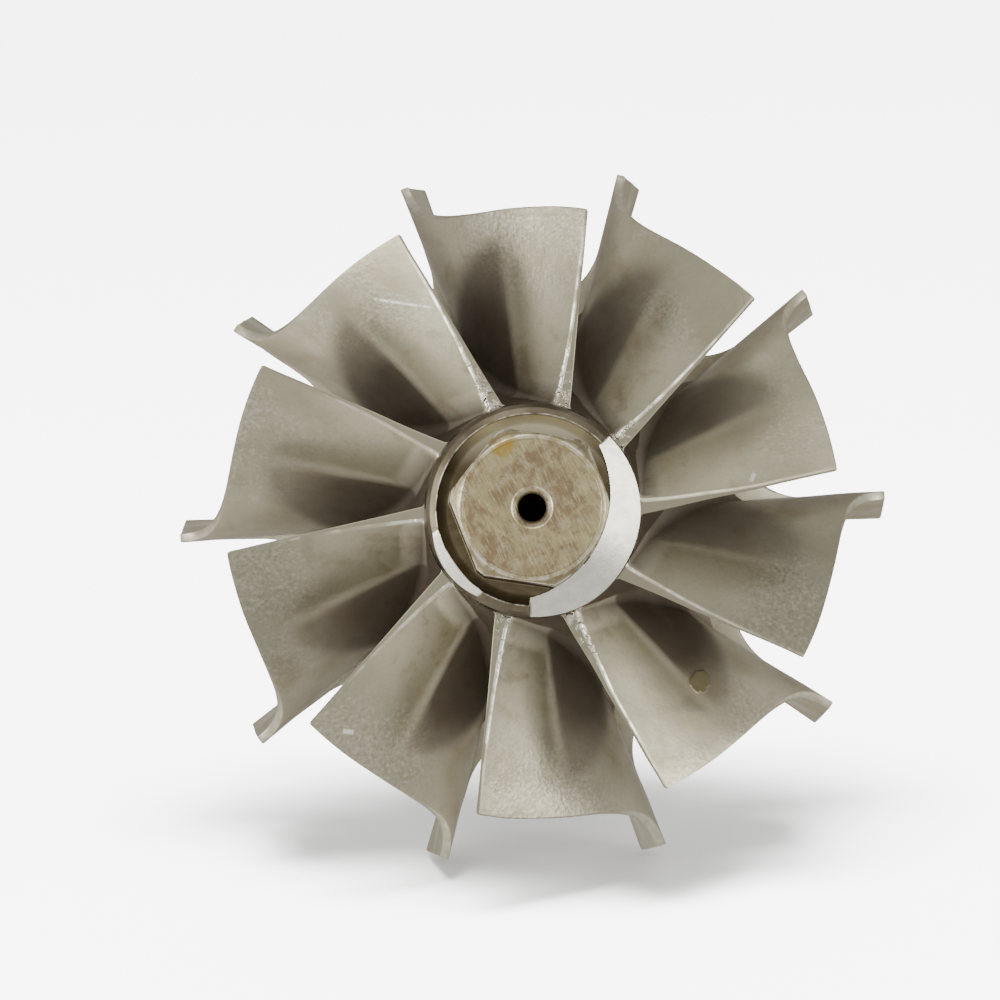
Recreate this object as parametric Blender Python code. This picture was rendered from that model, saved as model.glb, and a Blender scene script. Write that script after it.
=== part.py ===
"""Turbocharger turbine wheel with its welded rotor shaft.

The wheel is modelled about its own axis: local +Z runs from the back of the
disc out through the nose, and local XY is the plane of the back of the disc.
The whole rotor is then laid on the floor as it comes to rest, on two blade
tips and the end of the shaft, with the nose toward -Y.
"""

import math

import bmesh
import bpy
from mathutils import Matrix

MM = 0.001

# Wheel casting, in metres
BLADES = 10
PITCH = math.tau / BLADES
TIP_RADIUS = 38.0 * MM
TIP_WIDTH = 10.2 * MM
EXDUCER_RADIUS = 32.3 * MM
EXDUCER_W = 27.6 * MM
TRAILING_ROOT_W = 29.4 * MM
HUB_RADIUS = 11.3 * MM
HUB_END_W = 31.2 * MM
DISC_RIM_THICKNESS = 2.0 * MM
DISC_BACK_RADIUS = 15.0 * MM

# Blade faces, as angles about the axis seen from the nose
ARM_ANGLE = math.radians(72.0)
FACE_ANGLE = math.radians(73.5)
FACE_LEAN = math.radians(1.1)
ARM_LEAN = math.radians(1.6)
BLADE_WRAP = math.radians(32.1)
WRAP_POWER = 1.75

# Blade thickness
ARM_THICKNESS = 2.0 * MM
TIP_THICKNESS = 1.25 * MM
INDUCER_TAPER = 0.105
EXDUCER_THICKNESS = 0.45 * MM
EXDUCER_TAPER = 0.08

# Scallops in the back disc
ARM_HALF_WIDTH = 1.0 * MM
SCALLOP_BOTTOM = 22.6 * MM

# Nose
NOSE_FACE_W = 32.4 * MM
NOSE_RIM_RADIUS = 10.0 * MM
NOSE_DISH_RADIUS = 8.9 * MM
NOSE_DISH_DEPTH = 0.4 * MM
HEX_ACROSS_FLATS = 15.4 * MM
HEX_TOP_W = 39.0 * MM
HEX_ANGLE = math.radians(-9.0)
HEX_CORNER_RADIUS = 8.8 * MM
HEX_FACE_RADIUS = 7.5 * MM
CENTRE_HOLE_RADIUS = 1.45 * MM
CENTRE_CONE_RADIUS = 2.1 * MM
CENTRE_HOLE_DEPTH = 5.0 * MM

# Balance grinding on the nose shoulder: direction, how far off centre the stone
# runs, its slope, and the radius where the ground face meets the nose
BALANCE_CUTS = (
    (math.radians(335.0), 2.8 * MM, 0.57, 8.4 * MM),
    (math.radians(211.5), 9.5 * MM, 0.53, 9.5 * MM),
)
BALANCE_WALL = 0.4 * MM

# Weld boss, rotor shaft and seal ring
BOSS_RADIUS = 11.0 * MM
BOSS_END_W = -3.0 * MM
WELD_RADIUS = 11.25 * MM
WELD_WIDTH = 2.0 * MM
COLLAR_RADIUS = 10.2 * MM
COLLAR_WIDTH = 9.0 * MM
GROOVE_RADIUS = 8.1 * MM
GROOVE_WIDTH = 2.2 * MM
RING_OUTER_RADIUS = 10.7 * MM
RING_WIDTH = 1.6 * MM
RING_GAP = math.radians(5.0)
JOURNAL_RADIUS = 6.0 * MM
RELIEF_RADIUS = 5.6 * MM
STUB_RADIUS = 4.2 * MM
THREAD_RADIUS = 4.0 * MM
FIT = 0.3 * MM

# The wheel's arms and the end of the shaft touch the floor together
REST_TILT = math.radians(16.2)

HUB_SEGMENTS = 80
SHAFT_SEGMENTS = 48


def clear_scene():
    for item in list(bpy.data.objects):
        bpy.data.objects.remove(item, do_unlink=True)


def make_material(name, colour, metallic, roughness):
    material = bpy.data.materials.new(name)
    material.use_nodes = True
    shader = material.node_tree.nodes["Principled BSDF"]
    shader.inputs["Base Color"].default_value = (*colour, 1.0)
    shader.inputs["Metallic"].default_value = metallic
    shader.inputs["Roughness"].default_value = roughness
    material.diffuse_color = (*colour, 1.0)
    return material


def add_object(name, mesh_data, material=None, cutter=False):
    item = bpy.data.objects.new(name, mesh_data)
    bpy.context.scene.collection.objects.link(item)
    if material is not None:
        mesh_data.materials.append(material)
    if cutter:
        item.hide_render = True
        item.display_type = "WIRE"
    return item


def mesh_from(mesh, name):
    bmesh.ops.triangulate(mesh, faces=mesh.faces)
    bmesh.ops.recalc_face_normals(mesh, faces=mesh.faces)
    data = bpy.data.meshes.new(name)
    mesh.to_mesh(data)
    mesh.free()
    return data


def cut_or_join(target, other, operation):
    modifier = target.modifiers.new(f"{operation.lower()}_{other.name}", "BOOLEAN")
    modifier.operation = operation
    modifier.solver = "EXACT"
    modifier.object = other


def turned(name, profile, segments, centre=(0.0, 0.0)):
    """A solid turned about local Z from (radius, height) points, top to bottom."""
    mesh = bmesh.new()
    closed = profile[0] == profile[-1]
    points = profile[:-1] if closed else profile
    chain = [mesh.verts.new((radius, 0.0, height)) for radius, height in points]
    edges = [mesh.edges.new(pair) for pair in zip(chain, chain[1:])]
    if closed:
        edges.append(mesh.edges.new((chain[-1], chain[0])))
    bmesh.ops.spin(
        mesh,
        geom=chain + edges,
        cent=(0.0, 0.0, 0.0),
        axis=(0.0, 0.0, 1.0),
        angle=math.tau,
        steps=segments,
        use_merge=True,
    )
    bmesh.ops.remove_doubles(mesh, verts=mesh.verts, dist=1e-6)
    bmesh.ops.translate(mesh, verts=mesh.verts, vec=(*centre, 0.0))
    return mesh_from(mesh, name)


def lean(w, most):
    """How far the blade has turned past its arm at height w, before the wrap."""
    if w >= TIP_WIDTH:
        return most
    return most * (1.0 - ((TIP_WIDTH - w) / TIP_WIDTH) ** 2)


def face_angle(w):
    """The angle of the blade's leading face; its fibres are radial."""
    wrap = 0.0
    if w > TIP_WIDTH:
        share = (w - TIP_WIDTH) / (EXDUCER_W - TIP_WIDTH)
        wrap = BLADE_WRAP * share**WRAP_POWER
    return FACE_ANGLE + lean(w, FACE_LEAN) - wrap


def hub_contour(w):
    """The hub's radius at height w, a quarter of an ellipse."""
    share = min(max((HUB_END_W - w) / (HUB_END_W - DISC_RIM_THICKNESS), 0.0), 1.0)
    swell = (TIP_RADIUS - HUB_RADIUS) * (1.0 - math.sqrt(1.0 - share * share))
    return HUB_RADIUS + swell


def shroud_contour(w):
    """The blade's outer edge: the tip, then a curve down to the exducer."""
    if w <= TIP_WIDTH:
        return TIP_RADIUS
    share = (w - TIP_WIDTH) / (EXDUCER_W - TIP_WIDTH)
    fall = 1.0 - (1.0 - share) ** 3.4
    return TIP_RADIUS - (TIP_RADIUS - EXDUCER_RADIUS) * fall**0.62


def blade_thickness(w, radius):
    """Thick at the root and thin at the edge, but even along the arm at the back."""
    arm = max(1.0 - w / TIP_WIDTH, 0.0) * (ARM_THICKNESS - TIP_THICKNESS)
    rise = min(max((w - 2.0 * MM) / (5.0 * MM), 0.0), 1.0)
    inducer = TIP_THICKNESS + arm + rise * INDUCER_TAPER * (TIP_RADIUS - radius)
    exducer = EXDUCER_THICKNESS + EXDUCER_TAPER * (EXDUCER_RADIUS - radius)
    share = min(max((w - 6.0 * MM) / (EXDUCER_W - 6.0 * MM), 0.0), 1.0)
    return inducer + (exducer - inducer) * share**0.8


def blade_mesh():
    """One blade from its two faces, with its root inside the hub."""
    heights = [1.0, 3.2, 5.4, 7.6, 9.3, 10.2, 10.5, 11.1, 12.2, 13.9, 16.0, 18.6, 21.4, 24.4, 27.6]
    shares = [0.0, 0.3, 0.55, 0.78, 1.0]
    stretch = (TRAILING_ROOT_W - EXDUCER_W) / (EXDUCER_W - TIP_WIDTH)
    mesh = bmesh.new()
    rows = []
    for height in heights:
        w = height * MM
        outer = shroud_contour(w)
        beyond = max(w - TIP_WIDTH, 0.0) * stretch
        inner = min(hub_contour(w + beyond) - 1.4 * MM, SCALLOP_BOTTOM - 4.0 * MM)
        row = []
        for share in shares:
            radius = inner + (outer - inner) * share
            place = w + beyond * (1.0 - share)
            face = face_angle(w)
            back = face - 2.0 * math.asin(0.5 * blade_thickness(w, radius) / radius)
            pair = []
            for angle in (back, face):
                point = (radius * math.cos(angle), radius * math.sin(angle), place)
                pair.append(mesh.verts.new(point))
            row.append(pair)
        rows.append(row)
    for low, high in zip(rows, rows[1:]):
        for k in range(len(shares) - 1):
            for side in (0, 1):
                corner = [low[k][side], low[k + 1][side], high[k + 1][side], high[k][side]]
                mesh.faces.new(corner)
        for k in (0, -1):
            mesh.faces.new([low[k][0], low[k][1], high[k][1], high[k][0]])
    for row in (rows[0], rows[-1]):
        for near, far in zip(row, row[1:]):
            mesh.faces.new([near[0], near[1], far[1], far[0]])
    return mesh


def scallop_mesh():
    """The gap between two arms: straight along each arm, round at the bottom."""
    half_pitch = 0.5 * PITCH
    sine = math.sin(half_pitch)
    centre = (SCALLOP_BOTTOM - ARM_HALF_WIDTH) / (1.0 - sine)
    round_radius = centre * sine - ARM_HALF_WIDTH
    outline = []
    for step in range(9):
        turn = (step / 8.0 * 2.0 - 1.0) * (0.5 * math.pi - half_pitch)
        x = centre - round_radius * math.cos(turn)
        y = -round_radius * math.sin(turn)
        outline.append((x, y))
    reach = TIP_RADIUS + 6.0 * MM
    side_y = reach * sine - ARM_HALF_WIDTH * math.cos(half_pitch)
    side_x = reach * math.cos(half_pitch)
    outline.append((side_x, -side_y))
    outline.append((side_x, side_y))
    mesh = bmesh.new()
    layers = []
    for height in (-2.0, 0.0, 2.0, 4.0, 6.0, 8.0, 11.0):
        w = height * MM
        turn = ARM_ANGLE + half_pitch + lean(max(w, 0.0), ARM_LEAN)
        layer = []
        for x, y in outline:
            point = (
                x * math.cos(turn) - y * math.sin(turn),
                x * math.sin(turn) + y * math.cos(turn),
                w,
            )
            layer.append(mesh.verts.new(point))
        layers.append(layer)
    count = len(outline)
    for low, high in zip(layers, layers[1:]):
        for k in range(count):
            after = (k + 1) % count
            mesh.faces.new([low[k], low[after], high[after], high[k]])
    mesh.faces.new(layers[0])
    mesh.faces.new(layers[-1])
    return mesh


def repeated(mesh, name):
    """The given mesh once for each blade, all in one object's data."""
    first = list(mesh.verts) + list(mesh.edges) + list(mesh.faces)
    for step in range(1, BLADES):
        copy = bmesh.ops.duplicate(mesh, geom=first)
        verts = [item for item in copy["geom"] if isinstance(item, bmesh.types.BMVert)]
        turn = Matrix.Rotation(step * PITCH, 3, "Z")
        bmesh.ops.rotate(mesh, cent=(0.0, 0.0, 0.0), matrix=turn, verts=verts)
    return mesh_from(mesh, name)


def hub_profile():
    points = [
        (0.0, NOSE_FACE_W - NOSE_DISH_DEPTH),
        (NOSE_DISH_RADIUS, NOSE_FACE_W - NOSE_DISH_DEPTH),
        (NOSE_RIM_RADIUS, NOSE_FACE_W),
        (10.7 * MM, 32.05 * MM),
        (11.1 * MM, 31.5 * MM),
        (HUB_RADIUS, 30.6 * MM),
    ]
    heights = (27.0, 24.0, 21.0, 18.0, 15.5, 13.0, 11.0, 9.0, 7.4, 6.0, 4.8, 3.8, 2.9, 2.2)
    points += [(hub_contour(height * MM), height * MM) for height in heights]
    points += [
        (TIP_RADIUS, DISC_RIM_THICKNESS),
        (TIP_RADIUS, 0.0),
        (DISC_BACK_RADIUS, 0.0),
        (12.6 * MM, -0.6 * MM),
        (11.4 * MM, -1.6 * MM),
        (BOSS_RADIUS, BOSS_END_W),
        (0.0, BOSS_END_W),
    ]
    return points


def hex_boss():
    """The hexagon with its corners turned down and its top edge chamfered."""
    corner = 0.5 * HEX_ACROSS_FLATS / math.cos(math.pi / 6.0)
    mesh = bmesh.new()
    rings = []
    for height in (NOSE_FACE_W - 2.0 * MM, HEX_TOP_W):
        ring = []
        for step in range(6):
            angle = HEX_ANGLE + step * math.tau / 6.0
            ring.append(mesh.verts.new((corner * math.cos(angle), corner * math.sin(angle), height)))
        rings.append(ring)
    for step in range(6):
        after = (step + 1) % 6
        mesh.faces.new([rings[0][step], rings[0][after], rings[1][after], rings[1][step]])
    mesh.faces.new(rings[0])
    mesh.faces.new(rings[1])
    return mesh_from(mesh, "hex_boss")


def hex_turning():
    """The turned blank that rounds the hexagon's corners and chamfers its end."""
    profile = [
        (0.0, HEX_TOP_W + 0.0001 * MM),
        (HEX_FACE_RADIUS, HEX_TOP_W + 0.0001 * MM),
        (HEX_CORNER_RADIUS, HEX_TOP_W - 0.75 * MM),
        (HEX_CORNER_RADIUS, NOSE_FACE_W - 3.0 * MM),
        (0.0, NOSE_FACE_W - 3.0 * MM),
    ]
    return turned("hex_turning", profile, 48)


def centre_drill():
    top = HEX_TOP_W + 1.0 * MM
    mouth = CENTRE_CONE_RADIUS + (top - HEX_TOP_W)
    cone_end = HEX_TOP_W - (CENTRE_CONE_RADIUS - CENTRE_HOLE_RADIUS)
    profile = [
        (0.0, top),
        (mouth, top),
        (CENTRE_HOLE_RADIUS, cone_end),
        (CENTRE_HOLE_RADIUS, HEX_TOP_W - CENTRE_HOLE_DEPTH),
        (0.0, HEX_TOP_W - CENTRE_HOLE_DEPTH - CENTRE_HOLE_RADIUS),
    ]
    return turned("centre_drill", profile, 24)


def balance_cut(index, direction, offset, slope, start):
    """A cone set off centre, so that it grinds a crescent off the shoulder."""
    top = HEX_TOP_W + 1.0 * MM
    wall = start + offset - BALANCE_WALL
    reach = HUB_RADIUS + offset + 0.6 * MM
    profile = [
        (wall, top),
        (reach, top),
        (reach, NOSE_FACE_W - slope * (reach - start - offset)),
        (wall, NOSE_FACE_W + slope * BALANCE_WALL),
        (wall, top),
    ]
    centre = (-offset * math.cos(direction), -offset * math.sin(direction))
    return turned(f"balance_cut_{index}", profile, 72, centre)


def wheel_casting(material):
    hub = add_object("wheel_casting", turned("hub", hub_profile(), HUB_SEGMENTS), material)
    scallops = add_object("scallops", repeated(scallop_mesh(), "scallops"), cutter=True)
    blades = add_object("blade_row", repeated(blade_mesh(), "blade_row"), cutter=True)
    boss = add_object("hex_boss", hex_boss(), cutter=True)
    turning = add_object("hex_turning", hex_turning(), cutter=True)
    drill = add_object("centre_drill", centre_drill(), cutter=True)
    cut_or_join(boss, turning, "INTERSECT")
    cut_or_join(hub, scallops, "DIFFERENCE")
    cut_or_join(hub, blades, "UNION")
    cut_or_join(hub, boss, "UNION")
    cut_or_join(hub, drill, "DIFFERENCE")
    cutters = [scallops, blades, boss, turning, drill]
    for index, cut in enumerate(BALANCE_CUTS, start=1):
        shape = balance_cut(index, *cut)
        stone = add_object(f"balance_cut_{index}", shape, cutter=True)
        cut_or_join(hub, stone, "DIFFERENCE")
        cutters.append(stone)
    return hub, cutters


def shaft_stations():
    """Axial stations of the shaft, from the weld to its end."""
    start = BOSS_END_W - WELD_WIDTH
    collar_end = start - COLLAR_WIDTH
    corner = TIP_RADIUS * math.sin(ARM_ANGLE + math.asin(ARM_HALF_WIDTH / TIP_RADIUS))
    end = -(corner - THREAD_RADIUS) / math.tan(REST_TILT)
    return start, collar_end, end


def rotor_shaft(material):
    start, collar_end, end = shaft_stations()
    groove_top = start - 0.5 * (COLLAR_WIDTH - GROOVE_WIDTH)
    groove_end = groove_top - GROOVE_WIDTH
    journal_end = collar_end - 47.0 * MM
    stub_end = end + 15.0 * MM
    profile = [
        (0.0, start - FIT),
        (COLLAR_RADIUS, start - FIT),
        (COLLAR_RADIUS, groove_top),
        (GROOVE_RADIUS, groove_top),
        (GROOVE_RADIUS, groove_end),
        (COLLAR_RADIUS, groove_end),
        (COLLAR_RADIUS, collar_end + 0.5 * MM),
        (COLLAR_RADIUS - 0.5 * MM, collar_end),
        (JOURNAL_RADIUS + 1.2 * MM, collar_end),
        (JOURNAL_RADIUS + 0.3 * MM, collar_end - 0.4 * MM),
        (JOURNAL_RADIUS, collar_end - 1.4 * MM),
        (JOURNAL_RADIUS, collar_end - 14.0 * MM),
        (RELIEF_RADIUS, collar_end - 15.0 * MM),
        (RELIEF_RADIUS, journal_end + 14.0 * MM),
        (JOURNAL_RADIUS, journal_end + 13.0 * MM),
        (JOURNAL_RADIUS, journal_end + 0.6 * MM),
        (JOURNAL_RADIUS - 0.6 * MM, journal_end),
        (STUB_RADIUS, journal_end),
        (STUB_RADIUS, stub_end + 0.2 * MM),
        (THREAD_RADIUS - 0.4 * MM, stub_end - 0.4 * MM),
        (THREAD_RADIUS - 0.4 * MM, stub_end - 1.2 * MM),
        (THREAD_RADIUS, stub_end - 1.6 * MM),
        (THREAD_RADIUS, end),
        (1.4 * MM, end),
        (0.0, end + 1.4 * MM),
    ]
    return add_object("rotor_shaft", turned("rotor_shaft", profile, SHAFT_SEGMENTS), material)


def weld_seam(material):
    """The raised bead between the boss and the shaft."""
    top = BOSS_END_W - FIT
    bottom = BOSS_END_W - WELD_WIDTH
    middle = 0.5 * (top + bottom)
    profile = [
        (0.0, top),
        (WELD_RADIUS - 0.5 * MM, top),
        (WELD_RADIUS, middle + 0.3 * MM),
        (WELD_RADIUS, middle - 0.3 * MM),
        (WELD_RADIUS - 0.5 * MM, bottom),
        (0.0, bottom),
    ]
    return add_object("weld_seam", turned("weld_seam", profile, SHAFT_SEGMENTS), material)


def seal_ring(material):
    """A piston ring with its gap, in the groove of the shaft's collar."""
    start = shaft_stations()[0]
    middle = start - 0.5 * COLLAR_WIDTH
    inner = GROOVE_RADIUS + FIT
    section = [
        (inner, middle + 0.5 * RING_WIDTH),
        (RING_OUTER_RADIUS, middle + 0.5 * RING_WIDTH),
        (RING_OUTER_RADIUS, middle - 0.5 * RING_WIDTH),
        (inner, middle - 0.5 * RING_WIDTH),
    ]
    mesh = bmesh.new()
    corners = [mesh.verts.new((radius, 0.0, height)) for radius, height in section]
    face = mesh.faces.new(corners)
    bmesh.ops.spin(
        mesh,
        geom=[face] + list(face.edges) + list(face.verts),
        cent=(0.0, 0.0, 0.0),
        axis=(0.0, 0.0, 1.0),
        angle=math.tau - RING_GAP,
        steps=SHAFT_SEGMENTS,
    )
    bmesh.ops.remove_doubles(mesh, verts=mesh.verts, dist=1e-7)
    return add_object("seal_ring", mesh_from(mesh, "seal_ring"), material)


def floor_height(pieces):
    """The span of the laid-down pieces along world Y, and their lowest point."""
    bpy.context.view_layer.update()
    depsgraph = bpy.context.evaluated_depsgraph_get()
    along = []
    heights = []
    for piece in pieces:
        shape = piece.evaluated_get(depsgraph)
        data = shape.to_mesh()
        for vert in data.vertices:
            point = shape.matrix_world @ vert.co
            along.append(point.y)
            heights.append(point.z)
        shape.to_mesh_clear()
    return min(along), max(along), min(heights)


def lay_down(solids, cutters):
    """Turns the rotor to its resting pose and sets it on the floor, centred."""
    rotor = bpy.data.objects.new("rotor", None)
    bpy.context.scene.collection.objects.link(rotor)
    for piece in solids + cutters:
        piece.parent = rotor
    rotor.rotation_euler = (0.5 * math.pi - REST_TILT, 0.0, 0.0)
    nearest, farthest, lowest = floor_height(solids)
    rotor.location = (0.0, -0.5 * (nearest + farthest), -lowest)
    bpy.context.view_layer.update()


def shade_round(pieces):
    for piece in pieces:
        piece.data.shade_smooth()
        piece.data.set_sharp_from_angle(angle=math.radians(32.0))


def build():
    clear_scene()
    cast = make_material("cast_superalloy", (0.36, 0.34, 0.30), 1.0, 0.42)
    steel = make_material("ground_steel", (0.45, 0.44, 0.43), 1.0, 0.25)
    weld = make_material("weld_metal", (0.26, 0.24, 0.23), 1.0, 0.45)
    ring = make_material("ring_iron", (0.20, 0.19, 0.19), 1.0, 0.40)
    casting, cutters = wheel_casting(cast)
    solids = [casting, rotor_shaft(steel), weld_seam(weld), seal_ring(ring)]
    shade_round(solids + cutters)
    lay_down(solids, cutters)


build()
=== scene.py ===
"""Looks of the turbocharger turbine wheel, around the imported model."""

import math

import bpy
import numpy as np
from mathutils import Matrix, Vector

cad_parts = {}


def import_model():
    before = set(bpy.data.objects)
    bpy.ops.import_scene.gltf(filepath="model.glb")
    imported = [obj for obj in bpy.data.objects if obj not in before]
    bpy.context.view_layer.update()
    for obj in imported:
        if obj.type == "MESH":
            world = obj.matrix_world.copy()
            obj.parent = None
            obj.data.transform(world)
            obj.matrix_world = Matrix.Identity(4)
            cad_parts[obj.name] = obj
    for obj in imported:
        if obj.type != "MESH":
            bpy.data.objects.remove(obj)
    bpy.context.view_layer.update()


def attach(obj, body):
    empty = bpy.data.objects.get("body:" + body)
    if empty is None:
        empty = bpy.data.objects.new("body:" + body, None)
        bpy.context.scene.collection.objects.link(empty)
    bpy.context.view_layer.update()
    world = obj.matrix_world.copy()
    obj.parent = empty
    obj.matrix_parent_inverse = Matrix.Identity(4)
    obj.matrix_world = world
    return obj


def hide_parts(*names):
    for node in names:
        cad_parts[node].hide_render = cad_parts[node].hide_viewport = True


MM = 0.001

# Wheel sizes in millimetres, as in the solids
BLADES = 10
TIP_R = 38.0
TIP_W = 10.2
EXDUCER_R = 32.3
EXDUCER_W = 27.6
TRAILING_ROOT_W = 29.4
TRAILING_TIP_THICKNESS = 0.42
TRAILING_ROOT_EXTRA = 1.3
HUB_R = 11.3
HUB_END_W = 31.2
DISC_RIM = 2.0
DISC_BACK_R = 15.0
STEP_R = 17.3
STEP_HEIGHT = 0.12
ARM_ANGLE = math.radians(72.0)
FACE_ANGLE = math.radians(73.5)
FACE_LEAN = math.radians(1.1)
ARM_LEAN = math.radians(1.6)
BLADE_WRAP = math.radians(32.1)
WRAP_POWER = 1.75
ARM_THICKNESS = 2.0
TIP_THICKNESS = 1.25
INDUCER_TAPER = 0.105
EXDUCER_THICKNESS = 0.45
EXDUCER_TAPER = 0.08
ARM_HALF_WIDTH = 1.0
SCALLOP_BOTTOM = 22.6
CAST_UNEVEN = 0.04

# Nose in millimetres
NOSE_FACE_W = 32.4
NOSE_RIM_R = 10.0
NOSE_DISH_R = 8.9
NOSE_DISH_DEPTH = 0.4
HEX_FLATS = 15.4
HEX_TOP_W = 39.0
HEX_ANGLE = math.radians(-10.0)
HEX_CORNER_R = 8.6
HEX_FACE_R = 7.5
HOLE_R = 1.45
CONE_R = 2.1
HOLE_DEPTH = 5.0
FACE_LINE_R = 7.12
# The shoulder outside the rim: radius and height of each corner
SHOULDER = (
    (9.95, 32.4), (10.04, 32.42), (10.13, 32.36), (10.7, 32.05),
    (11.1, 31.5), (11.3, 30.6), (11.307, 30.45), (11.2, 30.3),
)
# Balance cuts: direction, offset of the stone's centre, slope, nearest radius, height there
BALANCE_CUTS = (
    (math.radians(330.0), 3.5, 0.5, 7.72, 32.2),
    (math.radians(214.0), 30.0, 0.5, 9.5, 32.4),
)
# Where each cut starts and ends around the nose
CUT_SPANS = ((math.radians(-93.5), math.radians(43.0)), (math.radians(188.0), math.radians(238.0)))

# Shaft in millimetres
BOSS_R = 11.0
BOSS_END_W = -3.0
WELD_R = 11.25
WELD_WIDTH = 2.0
COLLAR_R = 10.2
COLLAR_WIDTH = 9.0
GROOVE_R = 8.1
GROOVE_WIDTH = 2.2
RING_R = 10.7
RING_WIDTH = 1.6
RING_GAP = math.radians(5.0)
JOURNAL_R = 6.0
RELIEF_R = 5.6
STUB_R = 4.2
THREAD_R = 4.0
THREAD_PITCH = 1.0
THREAD_LENGTH = 15.0
JOURNAL_LENGTH = 14.0
JOURNALS_SPAN = 47.0
FIT = 0.3
# Drill hole in the shaft's end: radius and depth of each corner
SHAFT_HOLE = ((3.35, 0.0), (1.5, 0.0), (1.4, 0.08), (0.85, 1.0), (0.8, 3.0), (0.02, 3.5))

# How worn each blade's trailing edge is, which also sets how strong its painted glint is
EDGE_WEAR_AND_GLINT = (0.8, 0.85, 1.0, 0.35, 0.5, 0.5, 0.8, 1.0, 0.4, 0.35)

# How dark each blade's hollow face is painted with soot and painted shade
FACE_SOOT_AND_SHADE = (0.86, 1.0, 1.0, 1.0, 1.0, 1.05, 1.0, 1.0, 0.74, 0.82)

# How light each blade's hollow face is painted: painted light for how light falls on each blade
FACE_PAINTED_LIGHT = (1.05, 0.76, 1.18, 0.93, 0.84, 1.22, 0.95, 1.22, 0.93, 1.3)

# Marks on the bare end face of a trailing edge, and its share of the chips beside it
END_MARKS = {"end": 1.0, "painted_light_scale": 1.0}
END_CHIPS = 0.6

# Marks that a blow or a slip left on a blade: place, length, width and direction in degrees
SCRATCH = ((-13.0, 22.3, 25.5), 6.2, 0.26, -12.0)
NICKS = (
    ((-20.0, -22.6, 25.7), 1.1, 0.5, -8.0),
    ((23.2, 2.9, 27.0), 1.0, 0.45, 65.0),
)
DIMPLE = ((17.4, -18.3, 20.5), 1.1)

# Stain on the nose's end face in millimetres
STAIN_CENTRE = (-3.0, 6.6)
STAIN_R = 1.25

# Colours of the cast blades
CAST_BROWN = (0.262, 0.238, 0.168)
CAST_GREY = (0.312, 0.287, 0.21)
# Painted light: a lighter colour on the hollow faces near the hub
CAST_PAINTED_LIGHT = (0.43, 0.395, 0.285)
CAST_PATCH_DARK = (0.235, 0.19, 0.12)
CAST_PATCH_LIGHT = (0.36, 0.345, 0.265)
SKIN_LIGHT = (0.44, 0.42, 0.34)
SKIN_DARK = (0.21, 0.19, 0.14)
SKIN_TONE = (0.19, 0.173, 0.12)
SPECK = (0.15, 0.13, 0.09)
# Soot, and painted shade in the blades' depths
SOOT_AND_SHADE = (0.03, 0.021, 0.013)
DIMPLE_FLOOR = (0.075, 0.064, 0.03)
END_FACE = (0.215, 0.192, 0.135)
# Bare metal of worn edges, chips and marks, and painted glints along the trailing edges
BARE_METAL_AND_GLINT = (0.66, 0.63, 0.54)

# Colours of the nose
SHOULDER_DARK = (0.075, 0.062, 0.04)
SHOULDER_LIGHT = (0.12, 0.10, 0.068)
# Painted shade in the recess around the hexagon, and painted light at its top
RECESS_DARK = (0.075, 0.058, 0.03)
RECESS_LIGHT = (0.12, 0.098, 0.06)
RECESS_TOP_PAINTED_LIGHT = (0.32, 0.285, 0.195)
FACE_KHAKI = (0.30, 0.256, 0.132)
FACE_BROWN = (0.205, 0.15, 0.083)
# Painted glints: light flecks on the end face
FACE_GLINT_FLECK = (0.375, 0.33, 0.2)
FACE_SPECK = (0.175, 0.13, 0.072)
STROKE_LIGHT = (0.435, 0.385, 0.255)
STROKE_DARK = (0.15, 0.115, 0.065)
STAIN = (0.30, 0.20, 0.05)
# Painted shade on the hexagon's chamfer
CHAMFER_SHADE = (0.13, 0.108, 0.06)
# Painted shade in the drill hole
BORE_SHADE = (0.03, 0.022, 0.015)
GROUND_LIGHT = (0.56, 0.54, 0.46)
GROUND_DARK = (0.45, 0.43, 0.36)
# Wear and painted highlights along the nose's edges
NOSE_EDGE_HIGHLIGHT = (0.64, 0.60, 0.49)

# Colours of the shaft, the weld and the ring
STEEL_LIGHT = (0.31, 0.305, 0.295)
STEEL_DARK = (0.235, 0.22, 0.198)
STEEL_LINE = (0.17, 0.163, 0.15)
STEEL_HEATED = (0.19, 0.15, 0.115)
STEEL_EDGE = (0.52, 0.51, 0.49)
WELD_BROWN = (0.22, 0.175, 0.13)
WELD_BLUE = (0.14, 0.15, 0.19)
WELD_STRAW = (0.31, 0.265, 0.205)
IRON_DARK = (0.11, 0.105, 0.10)
IRON_LIGHT = (0.16, 0.152, 0.14)
IRON_RUBBED = (0.29, 0.28, 0.265)

# Resting pose of the rotor on the floor
REST_TILT = math.radians(16.2)
REST_Y = -34.3933
REST_Z = 34.9899

# Floor and back wall in metres
FLOOR_HALF_WIDTH = 4.0
FLOOR_FRONT = -3.0
SWEEP_START = 0.9
SWEEP_R = 0.6
WALL_TOP = 3.0
FLOOR_GREY = (0.61, 0.61, 0.61)
FLOOR_PALE = (0.63, 0.63, 0.627)

# Lamps: name, place in metres, size and power
FLOOR_LAMPS = (
    ("floor_left", (-0.22, -0.6, 1.9), (1.0, 0.6), 214.0),
    ("floor_right", (0.2, -0.65, 1.9), (1.0, 0.6), 226.0),
)
WHEEL_LAMPS = (
    ("wheel_left", (-0.95, -0.7, 0.3), (0.8, 0.9), 13.0),
    ("wheel_right", (0.95, -0.7, 0.3), (0.8, 0.9), 12.5),
    ("wheel_top", (-0.1, -0.6, 1.0), (0.7, 0.6), 4.5),
)
FLOOR_AIM = (0.0, 0.0, 0.0)
WHEEL_AIM = (0.0, -0.05, 0.04)

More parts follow.
